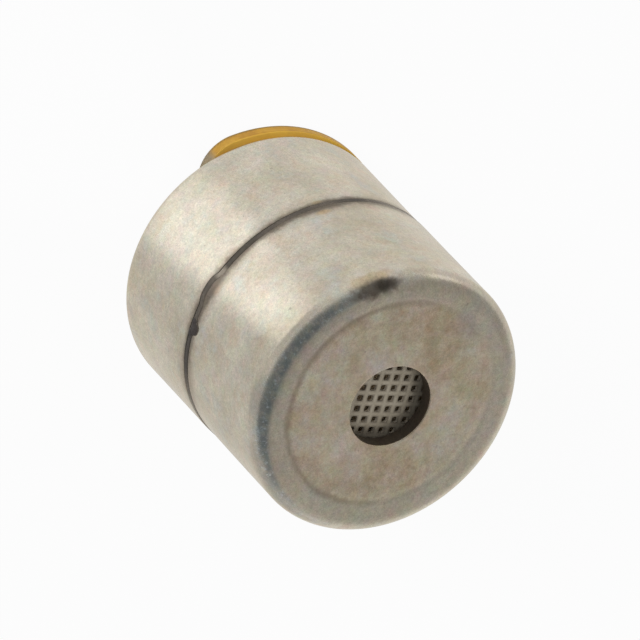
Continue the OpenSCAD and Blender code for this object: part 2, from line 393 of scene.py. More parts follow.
def seam_stain_and_shade(finish, colour):
    """Brown smears of adhesive and heat beside the seam mixed with painted shade, brown stains and dark
    painted-shade spots along it, and a dark edge along both rims that is painted shade and partly dirt.
    """
    wander = finish.math("MULTIPLY_ADD", finish.noise(9, 3, 0.65), 0.07, seam_distance(finish))
    patches = finish.fade(finish.noise(2.2, 3, 0.6), 0.3, 0.55)
    smear_and_shade = finish.overlap(finish.fade(wander, 0.22, 0.08), patches)
    # Painted shade in a soft band beside the seam, partly brown adhesive stain
    colour = finish.mottle(colour, smear_and_shade, 0.65, (0.33, 0.27, 0.20))
    # Spots along the seam: brown stains, and dark spots of painted shade
    for angle, level, half_sizes, strength, tone in (
        (-36, 1.5, (0.1, 0.34, 0.085), 0.6, (0.15, 0.12, 0.09)),
        (-35, 1.6, (0.1, 0.08, 0.04), 0.5, (0.52, 0.34, 0.16)),
        (-36, 1.425, (0.1, 0.06, 0.03), 0.4, (0.52, 0.34, 0.16)),
        (-50, 1.43, (0.1, 0.09, 0.05), 0.6, (0.20, 0.16, 0.125)),
        (-64, 1.46, (0.1, 0.28, 0.06), 0.5, (0.24, 0.20, 0.16)),
        (18, 1.55, (0.1, 0.06, 0.08), 0.5, (0.50, 0.36, 0.25)),
    ):
        stain = finish.spot(angle, CASE_R, level, half_sizes)
        colour = finish.mottle(colour, stain, strength, tone)
    # Painted shade along both rims at the seam, partly dirt
    rim_dirt_and_shade = finish.overlap(finish.fade(wander, 0.135, 0.065), finish.side(85, 1.24, 1.02))
    return finish.mottle(colour, rim_dirt_and_shade, 0.8, (0.14, 0.115, 0.09))


def face_film(finish, colour, level):
    """Tan film on the flat face, greyer outside the coined ring, with a dark line along the ring that is
    stronger on one side, and a smudge.
    """
    face = finish.fade(level, FRONT_Z - 0.03, FRONT_Z - 0.003)
    off_centre = finish.vector("SUBTRACT", finish.place, tuple(COINED_SHIFT))
    from_ring = finish.vector("LENGTH", finish.vector("MULTIPLY", off_centre, (1, 1, 0)))
    outside = finish.fade(from_ring, COINED_R - 0.05, COINED_R + 0.04)
    brown, tan, grey = (0.46, 0.34, 0.20), (0.63, 0.53, 0.39), (0.70, 0.665, 0.57)
    film = finish.tones(finish.noise(2.6, 5, 0.7), (0.3, brown), (0.5, tan), (0.7, grey))
    rim = finish.mottle((0.565, 0.50, 0.40), finish.side(20, 0.2, 0.9), 0.28, (0.35, 0.31, 0.26))
    film = finish.blend(outside, film, rim)
    film = finish.flecks(finish.tint(film, (finish.noise(11, 4, 0.6), 0.4)), 4, 0.4)
    colour = finish.mottle(colour, face, 0.8, film)

    wobbled_radius = finish.math("MULTIPLY_ADD", finish.noise(7, 3, 0.6), 0.08, from_ring)
    from_line = finish.math("ABSOLUTE", finish.math("SUBTRACT", wobbled_radius, COINED_R + 0.035))
    ring_line = finish.overlap(finish.fade(from_line, 0.05, 0.0), finish.side(40, -0.9, 0.6), face)
    colour = finish.mottle(colour, ring_line, 0.5, (0.27, 0.21, 0.15))
    smudge = finish.spot(-86, 0.97, FRONT_Z, (0.11, 0.17, 0.1), ragged=0.7, per_mm=9)
    return finish.mottle(colour, smudge, 0.35, (0.33, 0.31, 0.31))


def bore_cut_and_shade(finish, level, from_axis):
    """Where the sound port was cut through the face, which was never polished; the darker colour laid
    there is painted shade.
    """
    return finish.overlap(
        finish.fade(from_axis, PORT_R + 0.014, PORT_R + 0.004),
        finish.fade(level, FRONT_Z - 0.004, FRONT_Z - 0.02),
    )


def corner_band(finish, level, from_axis, face_edge, wall_edge):
    """A band along the front corner. Each edge fades between two shares of the corner's radius."""
    face_start, face_end = (CASE_R - FRONT_CORNER * share for share in face_edge)
    wall_start, wall_end = (FRONT_Z - FRONT_CORNER * share for share in wall_edge)
    return finish.overlap(
        finish.fade(from_axis, face_start, face_end), finish.fade(level, wall_start, wall_end)
    )


def painted_shoulder_reflections(finish, colour, level, from_axis):
    """Painted reflections on the shoulder: a streaky blue-grey dark band with painted glints on the near
    side, a patch of painted shade below it, and a dull painted dark band on the far side.
    """
    # Painted shade on the wall below the near shoulder
    painted_shade_patch = finish.spot(38, CASE_R, FRONT_Z - 0.14, (0.15, 0.3, 0.085))
    colour = finish.mottle(colour, painted_shade_patch, 0.5, (0.34, 0.32, 0.285))
    # Painted reflection of the dark room: a streaky blue-grey band along the near shoulder
    near_dark_reflection = finish.overlap(
        corner_band(finish, level, from_axis, (0.76, 0.5), (0.8, 0.14)),
        finish.side(32, 0.1, 1.0),
        finish.fade(finish.noise(13, 4, 0.7), 0.2, 0.6),
    )
    colour = finish.mottle(colour, near_dark_reflection, 0.75, (0.195, 0.23, 0.235))
    # Painted glints within that band
    painted_glints = finish.overlap(near_dark_reflection, finish.fade(finish.noise(22, 3, 0.7), 0.52, 0.68))
    colour = finish.mottle(colour, painted_glints, 0.7, (0.70, 0.72, 0.70))
    # Painted reflection: a dull dark band along the far shoulder
    far_dark_reflection = finish.overlap(
        corner_band(finish, level, from_axis, (0.75, 0.45), (0.9, 0.55)), finish.side(-95, 0.4, 1.1)
    )
    return finish.mottle(colour, far_dark_reflection, 0.4, (0.40, 0.35, 0.28))


def burnt_spot(finish, colour):
    """A dark burnt spot with a golden edge, on the shoulder."""
    angle = -30
    gold = finish.spot(
        angle, CASE_R - 0.008, FRONT_Z - 0.125, (0.09, 0.24, 0.075), ragged=0.4, per_mm=12
    )
    colour = finish.mottle(colour, gold, 0.5, (0.44, 0.29, 0.12))
    burn = finish.spot(
        angle, CASE_R - 0.066, FRONT_Z - 0.042, (0.1, 0.27, 0.085), ragged=0.5, per_mm=13
    )
    colour = finish.mottle(colour, burn, 0.84, (0.1, 0.078, 0.06))
    core = finish.spot(angle - 4, CASE_R - 0.055, FRONT_Z - 0.05, (0.07, 0.1, 0.055))
    return finish.mottle(colour, core, 0.7, (0.035, 0.028, 0.022))


def front_steel():
    finish = Finish("front_steel", {"Metallic": 1.0, "Specular Tint": EDGE_TINT})
    colour, roughness, height = tumbled_steel(finish, (0.765, 0.71, 0.60), (0.525, 0.465, 0.36))
    level = finish.level()
    from_axis = finish.from_axis()
    colour = face_film(finish, colour, level)
    cut = bore_cut_and_shade(finish, level, from_axis)
    # Painted shade in the port's bore, which the cut also leaves rougher
    colour = finish.mottle(colour, cut, 0.9, (0.15, 0.122, 0.1))
    roughness = finish.math("MULTIPLY_ADD", cut, 0.35, roughness)
    colour = painted_shoulder_reflections(finish, colour, level, from_axis)
    colour = burnt_spot(finish, colour)
    colour = satin_grain(finish, seam_stain_and_shade(finish, colour))
    return finish.use(colour, roughness, height, relief=STEEL_RELIEF)


def rear_steel():
    finish = Finish("rear_steel", {"Metallic": 1.0, "Specular Tint": EDGE_TINT})
    colour, roughness, height = tumbled_steel(finish, (0.785, 0.73, 0.62), (0.545, 0.485, 0.38))
    colour = satin_grain(finish, seam_stain_and_shade(finish, colour))
    return finish.use(colour, roughness, height, relief=STEEL_RELIEF)


def adhesive():
    finish = Finish("adhesive", {"Specular IOR Level": 0.4})
    lumps = finish.noise(18, 4, 0.6)
    dark, light = (0.09, 0.075, 0.06), (0.16, 0.13, 0.10)
    colour = finish.tones(finish.noise(4, 4, 0.6), (0.35, dark), (0.65, light))
    for angle, width, tone in (
        (-80, 0.55, (0.36, 0.31, 0.25)),
        (84, 0.45, (0.32, 0.28, 0.22)),
        (1, 0.3, (0.065, 0.055, 0.04)),
        (12, 0.07, (0.4, 0.34, 0.27)),
        (48, 0.3, (0.05, 0.042, 0.035)),
    ):
        patch = finish.spot(angle, CASE_R, seam_height(angle, CASE_R), (0.2, width, 0.2), ragged=0.2)
        colour = finish.mottle(colour, patch, 0.8, tone)
    proud = finish.fade(finish.from_axis(), SEAL_R, SEAL_R + 0.003)
    colour = finish.mottle(colour, proud, 0.8, (0.03, 0.024, 0.022))
    roughness = finish.math("MULTIPLY_ADD", lumps, 0.3, 0.5)
    return finish.use(colour, roughness, lumps, relief=0.003)


def bright_metal(name, pale, dull, smooth, per_mm=24, stretch=(1, 1, 1), relief=0.0008):
    """Plated or drawn metal with clouds, fine grain and a satin to glossy surface."""
    finish = Finish(name, {"Metallic": 1.0})
    clouds = finish.noise(per_mm / 6, 4, 0.6)
    grain = finish.noise(per_mm, 3, 0.6, stretch=stretch)
    colour = finish.tones(clouds, (0.3, dull), (0.7, pale))
    colour = finish.blend(finish.math("MULTIPLY", grain, 0.25), colour, shaded(dull, 0.8))
    roughness = finish.math("MULTIPLY_ADD", grain, 0.18, smooth)
    return finish.use(colour, roughness, grain, relief=relief)


def screen_nickel():
    """Etched mesh in the dull tan of the face, with painted shade round its holes, painted light on their
    walls and a painted shadow by the port's far edge.
    """
    finish = Finish("screen_nickel", {"Metallic": 0.6})
    mottle = finish.noise(11, 4, 0.65)
    grain = finish.noise(50, 3, 0.6)
    colour = finish.tones(mottle, (0.3, (0.50, 0.43, 0.32)), (0.7, (0.63, 0.56, 0.44)))
    colour = finish.tint(colour, (grain, 0.5))
    rows = finish.seen_from(SCREEN_SHIFT, SCREEN_TURN, (SCREEN_PITCH,) * 3)
    half = (0.5, 0.5, 0.5)
    cell = finish.vector("SUBTRACT", finish.vector("FRACTION", finish.vector("ADD", rows, half)), half)
    across = finish.add("ShaderNodeSeparateXYZ", {"Vector": finish.vector("ABSOLUTE", cell)}).outputs
    from_hole = finish.math("MAXIMUM", across["X"], across["Y"])
    # Painted shade on the rounded edges round each hole
    colour = finish.mottle(colour, finish.fade(from_hole, 0.46, 0.27), 0.6, (0.24, 0.20, 0.15))
    hole_wall_light = finish.fade(finish.level(), SCREEN_HIGH.z - 0.001, SCREEN_HIGH.z - 0.004)
    # Painted light on the hole walls
    colour = finish.mottle(colour, hole_wall_light, 0.9, (0.74, 0.66, 0.54))
    # Painted shadow of the port's far edge on the screen
    near_port = finish.fade(finish.from_axis(), PORT_R - 0.12, PORT_R - 0.035)
    port_edge_shadow = finish.overlap(near_port, finish.side(180, 0.0, 0.2))
    colour = finish.mottle(colour, port_edge_shadow, 0.5, (0.085, 0.075, 0.06))
    return finish.use(colour, finish.math("MULTIPLY_ADD", grain, 0.15, 0.34), grain, relief=0.001)


def brass():
    return bright_metal("brass", (0.78, 0.60, 0.28), (0.62, 0.45, 0.19), 0.22, stretch=(1, 1, 0.2))


def backplate_nickel():
    return bright_metal("backplate_nickel", (0.66, 0.63, 0.57), (0.55, 0.52, 0.46), 0.2)


def copper():
    return bright_metal("copper", (0.83, 0.47, 0.30), (0.62, 0.30, 0.18), 0.25)


def tinned_wire():
    return bright_metal("tinned_wire", (0.74, 0.74, 0.73), (0.60, 0.60, 0.59), 0.28, stretch=(1, 1, 8))


def pad_gold():
    return bright_metal("pad_gold", (0.88, 0.64, 0.27), (0.74, 0.51, 0.20), 0.3, per_mm=40)


def solder():
    return bright_metal("solder", (0.70, 0.70, 0.69), (0.50, 0.50, 0.50), 0.24, per_mm=14, relief=0.003)


def fine_solid(name, pale, dull, smooth, per_mm=20, relief=0.0006, coat=0.0):
    """A moulded, fired or cast material with a soft mottle and a fine surface."""
    finish = Finish(name, {"Coat Weight": coat})
    mottle = finish.noise(per_mm / 5, 4, 0.6)
    grain = finish.noise(per_mm * 3, 2, 0.6)
    colour = finish.tones(mottle, (0.3, dull), (0.7, pale))
    colour = finish.blend(finish.math("MULTIPLY", grain, 0.2), colour, shaded(dull, 0.85))
    roughness = finish.math("MULTIPLY_ADD", grain, 0.2, smooth)
    return finish.use(colour, roughness, grain, relief=relief)


def ivory_plastic():
    return fine_solid("ivory_plastic", (0.78, 0.72, 0.55), (0.70, 0.63, 0.47), 0.4)


def white_ceramic():
    return fine_solid("white_ceramic", (0.86, 0.85, 0.81), (0.78, 0.76, 0.71), 0.45, per_mm=40)


def bead_glass():
    return fine_solid("bead_glass", (0.10, 0.17, 0.14), (0.06, 0.11, 0.09), 0.08, coat=0.5)


def clear_film():
    return fine_solid("clear_film", (0.66, 0.67, 0.62), (0.58, 0.60, 0.55), 0.12, coat=0.4)


def amber_film():
    return fine_solid("amber_film", (0.62, 0.34, 0.07), (0.52, 0.26, 0.04), 0.15, coat=0.4)


def metallised_film():
    """Film with a thin gold coat that is pulled into faint radial creases."""
    finish = Finish("metallised_film", {"Metallic": 0.3})
    creases = finish.noise(9, 3, 0.6, stretch=(1, 3, 1))
    colour = finish.tones(creases, (0.3, (0.62, 0.47, 0.28)), (0.7, (0.74, 0.58, 0.37)))
    roughness = finish.math("MULTIPLY_ADD", creases, 0.12, 0.16)
    return finish.use(colour, roughness, creases, relief=0.0015)


def silicon():
    """Polished chip with the faint grid of its circuit."""
    finish = Finish("silicon", {"Coat Weight": 0.3})
    inputs = {
        "Vector": finish.place,
        "Scale": 26,
        "Mortar Size": 0.03,
        "Color1": (0.05, 0.055, 0.075, 1),
        "Color2": (0.08, 0.075, 0.085, 1),
        "Mortar": (0.22, 0.19, 0.12, 1),
    }
    circuit = finish.add("ShaderNodeTexBrick", inputs).outputs["Color"]
    haze = finish.noise(30, 3)
    return finish.use(circuit, finish.math("MULTIPLY_ADD", haze, 0.15, 0.12), haze, relief=0.0003)


def capacitor_ceramic():
    """Brown fired body between two tinned ends, told apart by their place along the chip."""
    low, high = box_of("filter_capacitor")
    middle = (low.y + high.y) / 2
    finish = Finish("capacitor_ceramic")
    along = finish.add("ShaderNodeSeparateXYZ", {"Vector": finish.place}).outputs["Y"]
    from_middle = finish.math("ABSOLUTE", finish.math("SUBTRACT", along, middle))
    body_half = 0.13
    end = finish.fade(from_middle, body_half - 0.002, body_half + 0.002)
    mottle = finish.noise(30, 4, 0.6)
    body = finish.tones(mottle, (0.3, (0.36, 0.24, 0.13)), (0.7, (0.47, 0.33, 0.19)))
    tinned = finish.tones(mottle, (0.3, (0.55, 0.55, 0.54)), (0.7, (0.68, 0.68, 0.67)))
    finish.tree.links.new(end, finish.shader.inputs["Metallic"])
    roughness = finish.math("MULTIPLY_ADD", mottle, 0.2, 0.32)
    return finish.use(finish.blend(end, body, tinned), roughness, mottle)


def amber_board():
    """Amber laminate whose cut edge shows its layers, darker along the outer arris, with painted light on
    its upper face and painted shade at its flat.
    """
    finish = Finish("amber_board", {"Roughness": 0.45, "Specular IOR Level": 0.1})
    level = finish.level()
    layers = finish.noise(20, 2, 0.5, stretch=(6, 6, 0.35))
    fibres = finish.noise(34, 3, 0.6)
    colour = finish.tones(layers, (0.3, (0.76, 0.40, 0.05)), (0.7, (0.88, 0.52, 0.09)))
    colour = finish.mottle(colour, fibres, 0.3, (0.68, 0.34, 0.05))
    scorch = finish.fade(finish.noise(3, 3, 0.6), 0.48, 0.62)
    colour = finish.mottle(colour, scorch, 0.45, (0.52, 0.24, 0.06))
    # Painted light: the upper face, shaded under the case's corner, is lightened
    lit_upper_face = finish.fade(level, BOARD_HIGH.z - 0.01, BOARD_HIGH.z - 0.004)
    colour = finish.mottle(colour, lit_upper_face, 0.6, (0.98, 0.62, 0.1))
    # Darker along the outer arris
    arris_darkening = finish.fade(level, BOARD_LOW.z + 0.046, BOARD_LOW.z + 0.02)
    colour = finish.mottle(colour, arris_darkening, 0.65, (0.22, 0.16, 0.06))
    to_flat = finish.vector("DOT_PRODUCT", finish.place, (0, -1, 0))
    colour = finish.mottle(colour, finish.fade(to_flat, 0.0, 0.25), 0.4, (0.50, 0.29, 0.07))
    # Painted shade on the board's end at the flat
    colour = finish.mottle(colour, finish.fade(to_flat, 0.28, 0.35), 0.85, (0.30, 0.26, 0.19))
    return finish.use(colour, None, layers, relief=0.002)


MAKERS = [
    front_steel, rear_steel, adhesive, screen_nickel, brass, metallised_film, amber_film, clear_film,
    backplate_nickel, ivory_plastic, copper, white_ceramic, silicon, capacitor_ceramic, amber_board,
    tinned_wire, bead_glass, pad_gold, solder,
]
MATERIALS = {maker.__name__: maker() for maker in MAKERS}


# Outlines

# Steps of a large and of a small arc, and the rounding from which an arc counts as large
LARGE_STEPS = 14
SMALL_STEPS = 4
LARGE_ROUNDING = 0.1


def corner_arc(before, corner, after, rounding, steps):
    """Points of the arc that rounds one corner of an outline."""
    to_before = (before - corner).normalized()
    to_after = (after - corner).normalized()
    half = to_before.angle(to_after) / 2
    centre = corner + (to_before + to_after).normalized() * (rounding / math.sin(half))
    start = corner + to_before * (rounding / math.tan(half)) - centre
    end = corner + to_after * (rounding / math.tan(half)) - centre
    first = math.atan2(start.y, start.x)
    turn = (math.atan2(end.y, end.x) - first + math.pi) % (2 * math.pi) - math.pi
    angles = [first + turn * i / steps for i in range(steps + 1)]
    return [centre + rounding * Vector((math.cos(a), math.sin(a))) for a in angles]


def outline(corners, closed):
    """Points of a half section. Each corner is (radius, height) or (radius, height, rounding)."""
    points = []
    for i, corner in enumerate(corners):
        here = Vector(corner[:2])
        if len(corner) == 2:
            points.append(here)
            continue
        before = Vector(corners[i - 1][:2])
        after = Vector(corners[(i + 1) % len(corners)][:2])
        steps = LARGE_STEPS if corner[2] > LARGE_ROUNDING else SMALL_STEPS
        points += corner_arc(before, here, after, corner[2], steps)
    return with_rows(points, closed)


def with_rows(points, closed, support=0.012, row=0.12):
    """Adds rows along straight stretches, close to their ends and then evenly, for clean shading."""
    rows = []
    following = points[1:] + points[:1]
    for here, there in zip(points, following):
        rows.append(here)
        if there is points[0] and not closed:
            break
        length = (there - here).length
        if length > 3 * support:
            inner = max(1, round((length - 2 * support) / row))
            places = [support + (length - 2 * support) * i / inner for i in range(inner + 1)]
            rows += [here.lerp(there, place / length) for place in places]
    return rows


# How strongly a rule takes hold of a point of an outline, and how far it moves it sideways


def nowhere(radius, height):
    return 0.0


def everywhere(radius, height):
    return 1.0


def no_shift(radius, height):
    return Vector((0, 0, 0))


# Geometry Nodes trees


def new_tree(name, *sockets):
    """An empty Geometry Nodes tree with its geometry sockets and the named inputs."""
    tree = bpy.data.node_groups.new(name, "GeometryNodeTree")
    tree.interface.new_socket("Geometry", in_out="INPUT", socket_type="NodeSocketGeometry")
    for socket, kind in sockets:
        tree.interface.new_socket(socket, in_out="INPUT", socket_type="NodeSocket" + kind)
    tree.interface.new_socket("Geometry", in_out="OUTPUT", socket_type="NodeSocketGeometry")
    return Nodes(tree), tree.nodes.new("NodeGroupInput").outputs


def end_tree(nodes, geometry, material):
    """Ends a tree in smooth shading, Realize Instances and Set Material."""
    smooth = nodes.out("GeometryNodeSetShadeSmooth", {"Geometry": geometry})
    real = nodes.out("GeometryNodeRealizeInstances", {"Geometry": smooth})
    painted = nodes.out("GeometryNodeSetMaterial", {"Geometry": real, "Material": material})
    nodes.add("NodeGroupOutput", {0: painted})
    return nodes.tree


def joined(nodes, *parts):
    """Several geometries as one."""
    join = nodes.add("GeometryNodeJoinGeometry")
    for part in parts:
        nodes.tree.links.new(part, join.inputs[0])
    return join.outputs[0]


def attribute(nodes, name, kind):
    return nodes.out("GeometryNodeInputNamedAttribute", {"Name": name}, data_type=kind)


def turned_tree():
    """Turns a half section about the axis, leans its marked rows with the seam and dents its wall."""
    nodes, given = new_tree(
        "turned_piece",
        ("Segments", "Int"), ("Path Radius", "Float"), ("Lean", "Vector"), ("Kink Way", "Vector"),
        ("Kink Rise", "Float"), ("Dent Depth", "Float"), ("Dent Size", "Float"), ("Seed", "Float"),
        ("Place", "Vector"), ("Material", "Material"),
    )
    inwards = nodes.math("MULTIPLY", given["Path Radius"], -1.0)
    to_path = nodes.out("ShaderNodeCombineXYZ", {"X": inwards})
    section = nodes.out("GeometryNodeMeshToCurve", {"Mesh": given["Geometry"]})
    section = nodes.out("GeometryNodeSetPosition", {"Geometry": section, "Offset": to_path})
    circle = nodes.out(
        "GeometryNodeCurvePrimitiveCircle",
        {"Resolution": given["Segments"], "Radius": given["Path Radius"]},
    )
    shell = nodes.out("GeometryNodeCurveToMesh", {"Curve": circle, "Profile Curve": section})
    shell = nodes.out("GeometryNodeMergeByDistance", {"Geometry": shell, "Distance": WELD})

    position = nodes.out("GeometryNodeInputPosition")
    outwards = nodes.vector("NORMALIZE", nodes.vector("MULTIPLY", position, (1, 1, 0)))
    near_kink = nodes.fade(nodes.vector("DOT_PRODUCT", outwards, given["Kink Way"]), KINK_EDGE, 1.0)
    leaning = nodes.vector("DOT_PRODUCT", position, given["Lean"])
    rise = nodes.math("MULTIPLY_ADD", near_kink, given["Kink Rise"], leaning)
    rise = nodes.math("MULTIPLY", rise, attribute(nodes, "lean", "FLOAT"))
    lifted = nodes.out("ShaderNodeCombineXYZ", {"Z": rise})
    sideways = nodes.vector("ADD", lifted, attribute(nodes, "sideways", "FLOAT_VECTOR"))
    waves = nodes.add(
        "ShaderNodeTexNoise",
        {
            "Vector": position,
            "W": given["Seed"],
            "Scale": nodes.math("DIVIDE", 1.0, given["Dent Size"]),
            "Detail": 2.0,
        },
        noise_dimensions="4D",
    ).outputs["Fac"]
    # The noise seldom passes this value, so that dents go inwards
    noise_top = 0.75
    depth = nodes.math("MULTIPLY", nodes.math("SUBTRACT", waves, noise_top), given["Dent Depth"])
    depth = nodes.math("MULTIPLY", depth, attribute(nodes, "dent", "FLOAT"))
    scaled = nodes.out("ShaderNodeVectorMath", {0: outwards, "Scale": depth}, operation="SCALE")
    offset = nodes.vector("ADD", sideways, scaled)
    shell = nodes.out("GeometryNodeSetPosition", {"Geometry": shell, "Offset": offset})
    shell = nodes.out("GeometryNodeSetPosition", {"Geometry": shell, "Offset": given["Place"]})
    shell = nodes.out("GeometryNodeFlipFaces", {"Mesh": shell})
    return end_tree(nodes, shell, given["Material"])


def drilled_tree():
    """Drills a row of round holes through a piece, square to its floor."""
    nodes, given = new_tree(
        "drilled_row",
        ("Count", "Int"), ("Pitch", "Float"), ("Row", "Vector"), ("Radius", "Float"), ("Depth", "Float"),
        ("Material", "Material"),
    )
    step = nodes.out("ShaderNodeCombineXYZ", {"X": given["Pitch"]})
    line = nodes.out(
        "GeometryNodeMeshLine",
        {"Count": given["Count"], "Start Location": given["Row"], "Offset": step},
    )
    drill = nodes.out(
        "GeometryNodeMeshCylinder",
        {"Vertices": SMALL_ROUND, "Radius": given["Radius"], "Depth": given["Depth"]},
    )
    drills = nodes.out("GeometryNodeInstanceOnPoints", {"Points": line, "Instance": drill})
    drills = nodes.out("GeometryNodeRealizeInstances", {"Geometry": drills})
    drilled = nodes.out(
        "GeometryNodeMeshBoolean",
        {"Mesh 1": given["Geometry"], "Mesh 2": drills},
        operation="DIFFERENCE",
        solver="EXACT",
    )
    return end_tree(nodes, drilled, given["Material"])


def screen_tree():
    """Etches rows of square holes with soft corners through a disc, inside an open radius."""
    nodes, given = new_tree(
        "etched_screen",
        ("Disc Radius", "Float"), ("Thickness", "Float"), ("Rows", "Int"), ("Pitch", "Float"),
        ("Hole Width", "Float"), ("Hole Corner", "Float"), ("Open Radius", "Float"), ("Turn", "Float"),
        ("Shift", "Vector"), ("Place", "Vector"), ("Material", "Material"),
    )
    span = nodes.math("MULTIPLY", nodes.math("SUBTRACT", given["Rows"], 1), given["Pitch"])
    grid = nodes.out(
        "GeometryNodeMeshGrid",
        {"Size X": span, "Size Y": span, "Vertices X": given["Rows"], "Vertices Y": given["Rows"]},
    )
    turn = nodes.out("ShaderNodeCombineXYZ", {"Z": given["Turn"]})
    grid = nodes.out(
        "GeometryNodeTransform",
        {"Geometry": grid, "Translation": given["Shift"], "Rotation": turn},
    )
    position = nodes.out("GeometryNodeInputPosition")
    closed = nodes.math("GREATER_THAN", nodes.vector("LENGTH", position), given["Open Radius"])
    grid = nodes.out(
        "GeometryNodeDeleteGeometry", {"Geometry": grid, "Selection": closed}, domain="POINT"
    )
    square = nodes.out(
        "GeometryNodeCurvePrimitiveQuadrilateral",
        {"Width": given["Hole Width"], "Height": given["Hole Width"]},
    )
    hole = nodes.out(
        "GeometryNodeFilletCurve",
        {"Curve": square, "Radius": given["Hole Corner"], "Count": 4},
        mode="POLY",
    )
    holes = nodes.out(
        "GeometryNodeInstanceOnPoints",
        {"Points": grid, "Instance": hole, "Rotation": turn},
    )
    holes = nodes.out("GeometryNodeRealizeInstances", {"Geometry": holes})
    rim = nodes.out(
        "GeometryNodeCurvePrimitiveCircle", {"Resolution": 128, "Radius": given["Disc Radius"]}
    )
    sheet = nodes.out("GeometryNodeFillCurve", {"Curve": joined(nodes, rim, holes)})
    up = nodes.out("ShaderNodeCombineXYZ", {"Z": given["Thickness"]})
    walls = nodes.out(
        "GeometryNodeExtrudeMesh",
        {"Mesh": sheet, "Offset": up, "Offset Scale": 1.0, "Individual": False},
    )
    under = nodes.out("GeometryNodeFlipFaces", {"Mesh": sheet})
    slab = joined(nodes, walls, under)
    slab = nodes.out("GeometryNodeMergeByDistance", {"Geometry": slab, "Distance": WELD})
    slab = nodes.out("GeometryNodeSetPosition", {"Geometry": slab, "Offset": given["Place"]})
    return end_tree(nodes, slab, given["Material"])


def lump_tree():
    """Sets a flattened, uneven lump of adhesive on each point, as large as the point says."""
    nodes, given = new_tree(
        "adhesive_lumps",
        ("Flatness", "Float"), ("Unevenness", "Float"), ("Grain", "Float"), ("Seed", "Float"),
        ("Material", "Material"),
    )
    position = nodes.out("GeometryNodeInputPosition")
    outwards = nodes.vector("MULTIPLY", position, (1, 1, 0))
    facing = nodes.out("FunctionNodeAlignRotationToVector", {"Vector": outwards}, axis="Z")
    ball = nodes.out("GeometryNodeMeshIcoSphere", {"Radius": 1.0, "Subdivisions": 4})
    size = attribute(nodes, "size", "FLOAT")
    flat = nodes.math("MULTIPLY", size, given["Flatness"])
    scale = nodes.out("ShaderNodeCombineXYZ", {"X": size, "Y": size, "Z": flat})
    lumps = nodes.out(
        "GeometryNodeInstanceOnPoints",
        {"Points": given["Geometry"], "Instance": ball, "Rotation": facing, "Scale": scale},
    )
    lumps = nodes.out("GeometryNodeRealizeInstances", {"Geometry": lumps})
    swell = nodes.add(
        "ShaderNodeTexNoise",
        {"Vector": position, "W": given["Seed"], "Scale": nodes.math("DIVIDE", 1.0, given["Grain"])},
        noise_dimensions="4D",
    ).outputs["Fac"]
    push = nodes.math("MULTIPLY", nodes.math("SUBTRACT", swell, 0.5), given["Unevenness"])
    normal = nodes.out("GeometryNodeInputNormal")
    offset = nodes.out("ShaderNodeVectorMath", {0: normal, "Scale": push}, operation="SCALE")
    lumps = nodes.out("GeometryNodeSetPosition", {"Geometry": lumps, "Offset": offset})
    return end_tree(nodes, lumps, given["Material"])


TURNED = turned_tree()
DRILLED = drilled_tree()
ETCHED = screen_tree()
LUMPS = lump_tree()


# Building pieces


def new_object(name, mesh):
    piece = bpy.data.objects.new(name, mesh)
    bpy.context.scene.collection.objects.link(piece)
    return piece


def add_tree(piece, tree, **inputs):
    """Adds a tree to a piece and sets its named inputs by their identifiers."""
    modifier = piece.modifiers.new(tree.name, "NODES")
    modifier.node_group = tree
    sockets = {item.name: item.identifier for item in tree.interface.items_tree if item.in_out == "INPUT"}
    for name, value in inputs.items():
        modifier[sockets[name.replace("_", " ").title()]] = value


def settle(piece, node, sharp=32):
    """Turns a piece's modifiers into a plain mesh and lets it stand for its CAD node."""
    seen = piece.evaluated_get(bpy.context.evaluated_depsgraph_get())
    plain = bpy.data.meshes.new_from_object(seen)
    piece.modifiers.clear()
    piece.data = plain
    plain.set_sharp_from_angle(angle=math.radians(sharp))
    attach(piece, "root")
    if node:
        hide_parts(node)


def turned(name, node, slot, corners, closed=True, lean=nowhere, shift=no_shift, dent=nowhere,
           dent_depth=0.0, dent_size=1.0, seed=0.0, segments=256, place=(0, 0, 0), drill=None):
    """A round piece from the corners of its half section, standing for a CAD node."""
    points = outline(corners, closed)
    mesh = bpy.data.meshes.new(name)
    edges = [(i, i + 1) for i in range(len(points) - 1)]
    if closed:
        edges.append((len(points) - 1, 0))
    mesh.from_pydata([(p.x * MM, -p.y * MM, 0) for p in points], edges, [])
    for label, kind, field, rule in (
        ("lean", "FLOAT", "value", lean),
        ("dent", "FLOAT", "value", dent),
        ("sideways", "FLOAT_VECTOR", "vector", shift),
    ):
        values = mesh.attributes.new(label, kind, "POINT").data
        for value, point in zip(values, points):
            found = rule(point.x, point.y)
            setattr(value, field, found * MM if kind == "FLOAT_VECTOR" else found)
    piece = new_object(name, mesh)
    add_tree(
        piece, TURNED, segments=segments, path_radius=CASE_R * MM, lean=SEAM_LEAN,
        kink_way=beside_camera(KINK_ANGLE), kink_rise=KINK_RISE * MM,
        dent_depth=dent_depth * MM, dent_size=dent_size * MM, seed=seed, place=Vector(place) * MM,
        material=MATERIALS[slot],
    )
    if drill:
        add_tree(piece, DRILLED, material=MATERIALS[slot], **drill)
    settle(piece, node)


def ring_section(outer, inner, low, high, edge=FINE_EDGE):
    return [(outer, low, edge), (outer, high, edge), (inner, high, edge), (inner, low, edge)]


def disc_section(radius, low, high, edge):
    return [(0, low), (radius, low, edge), (radius, high, edge), (0, high)]


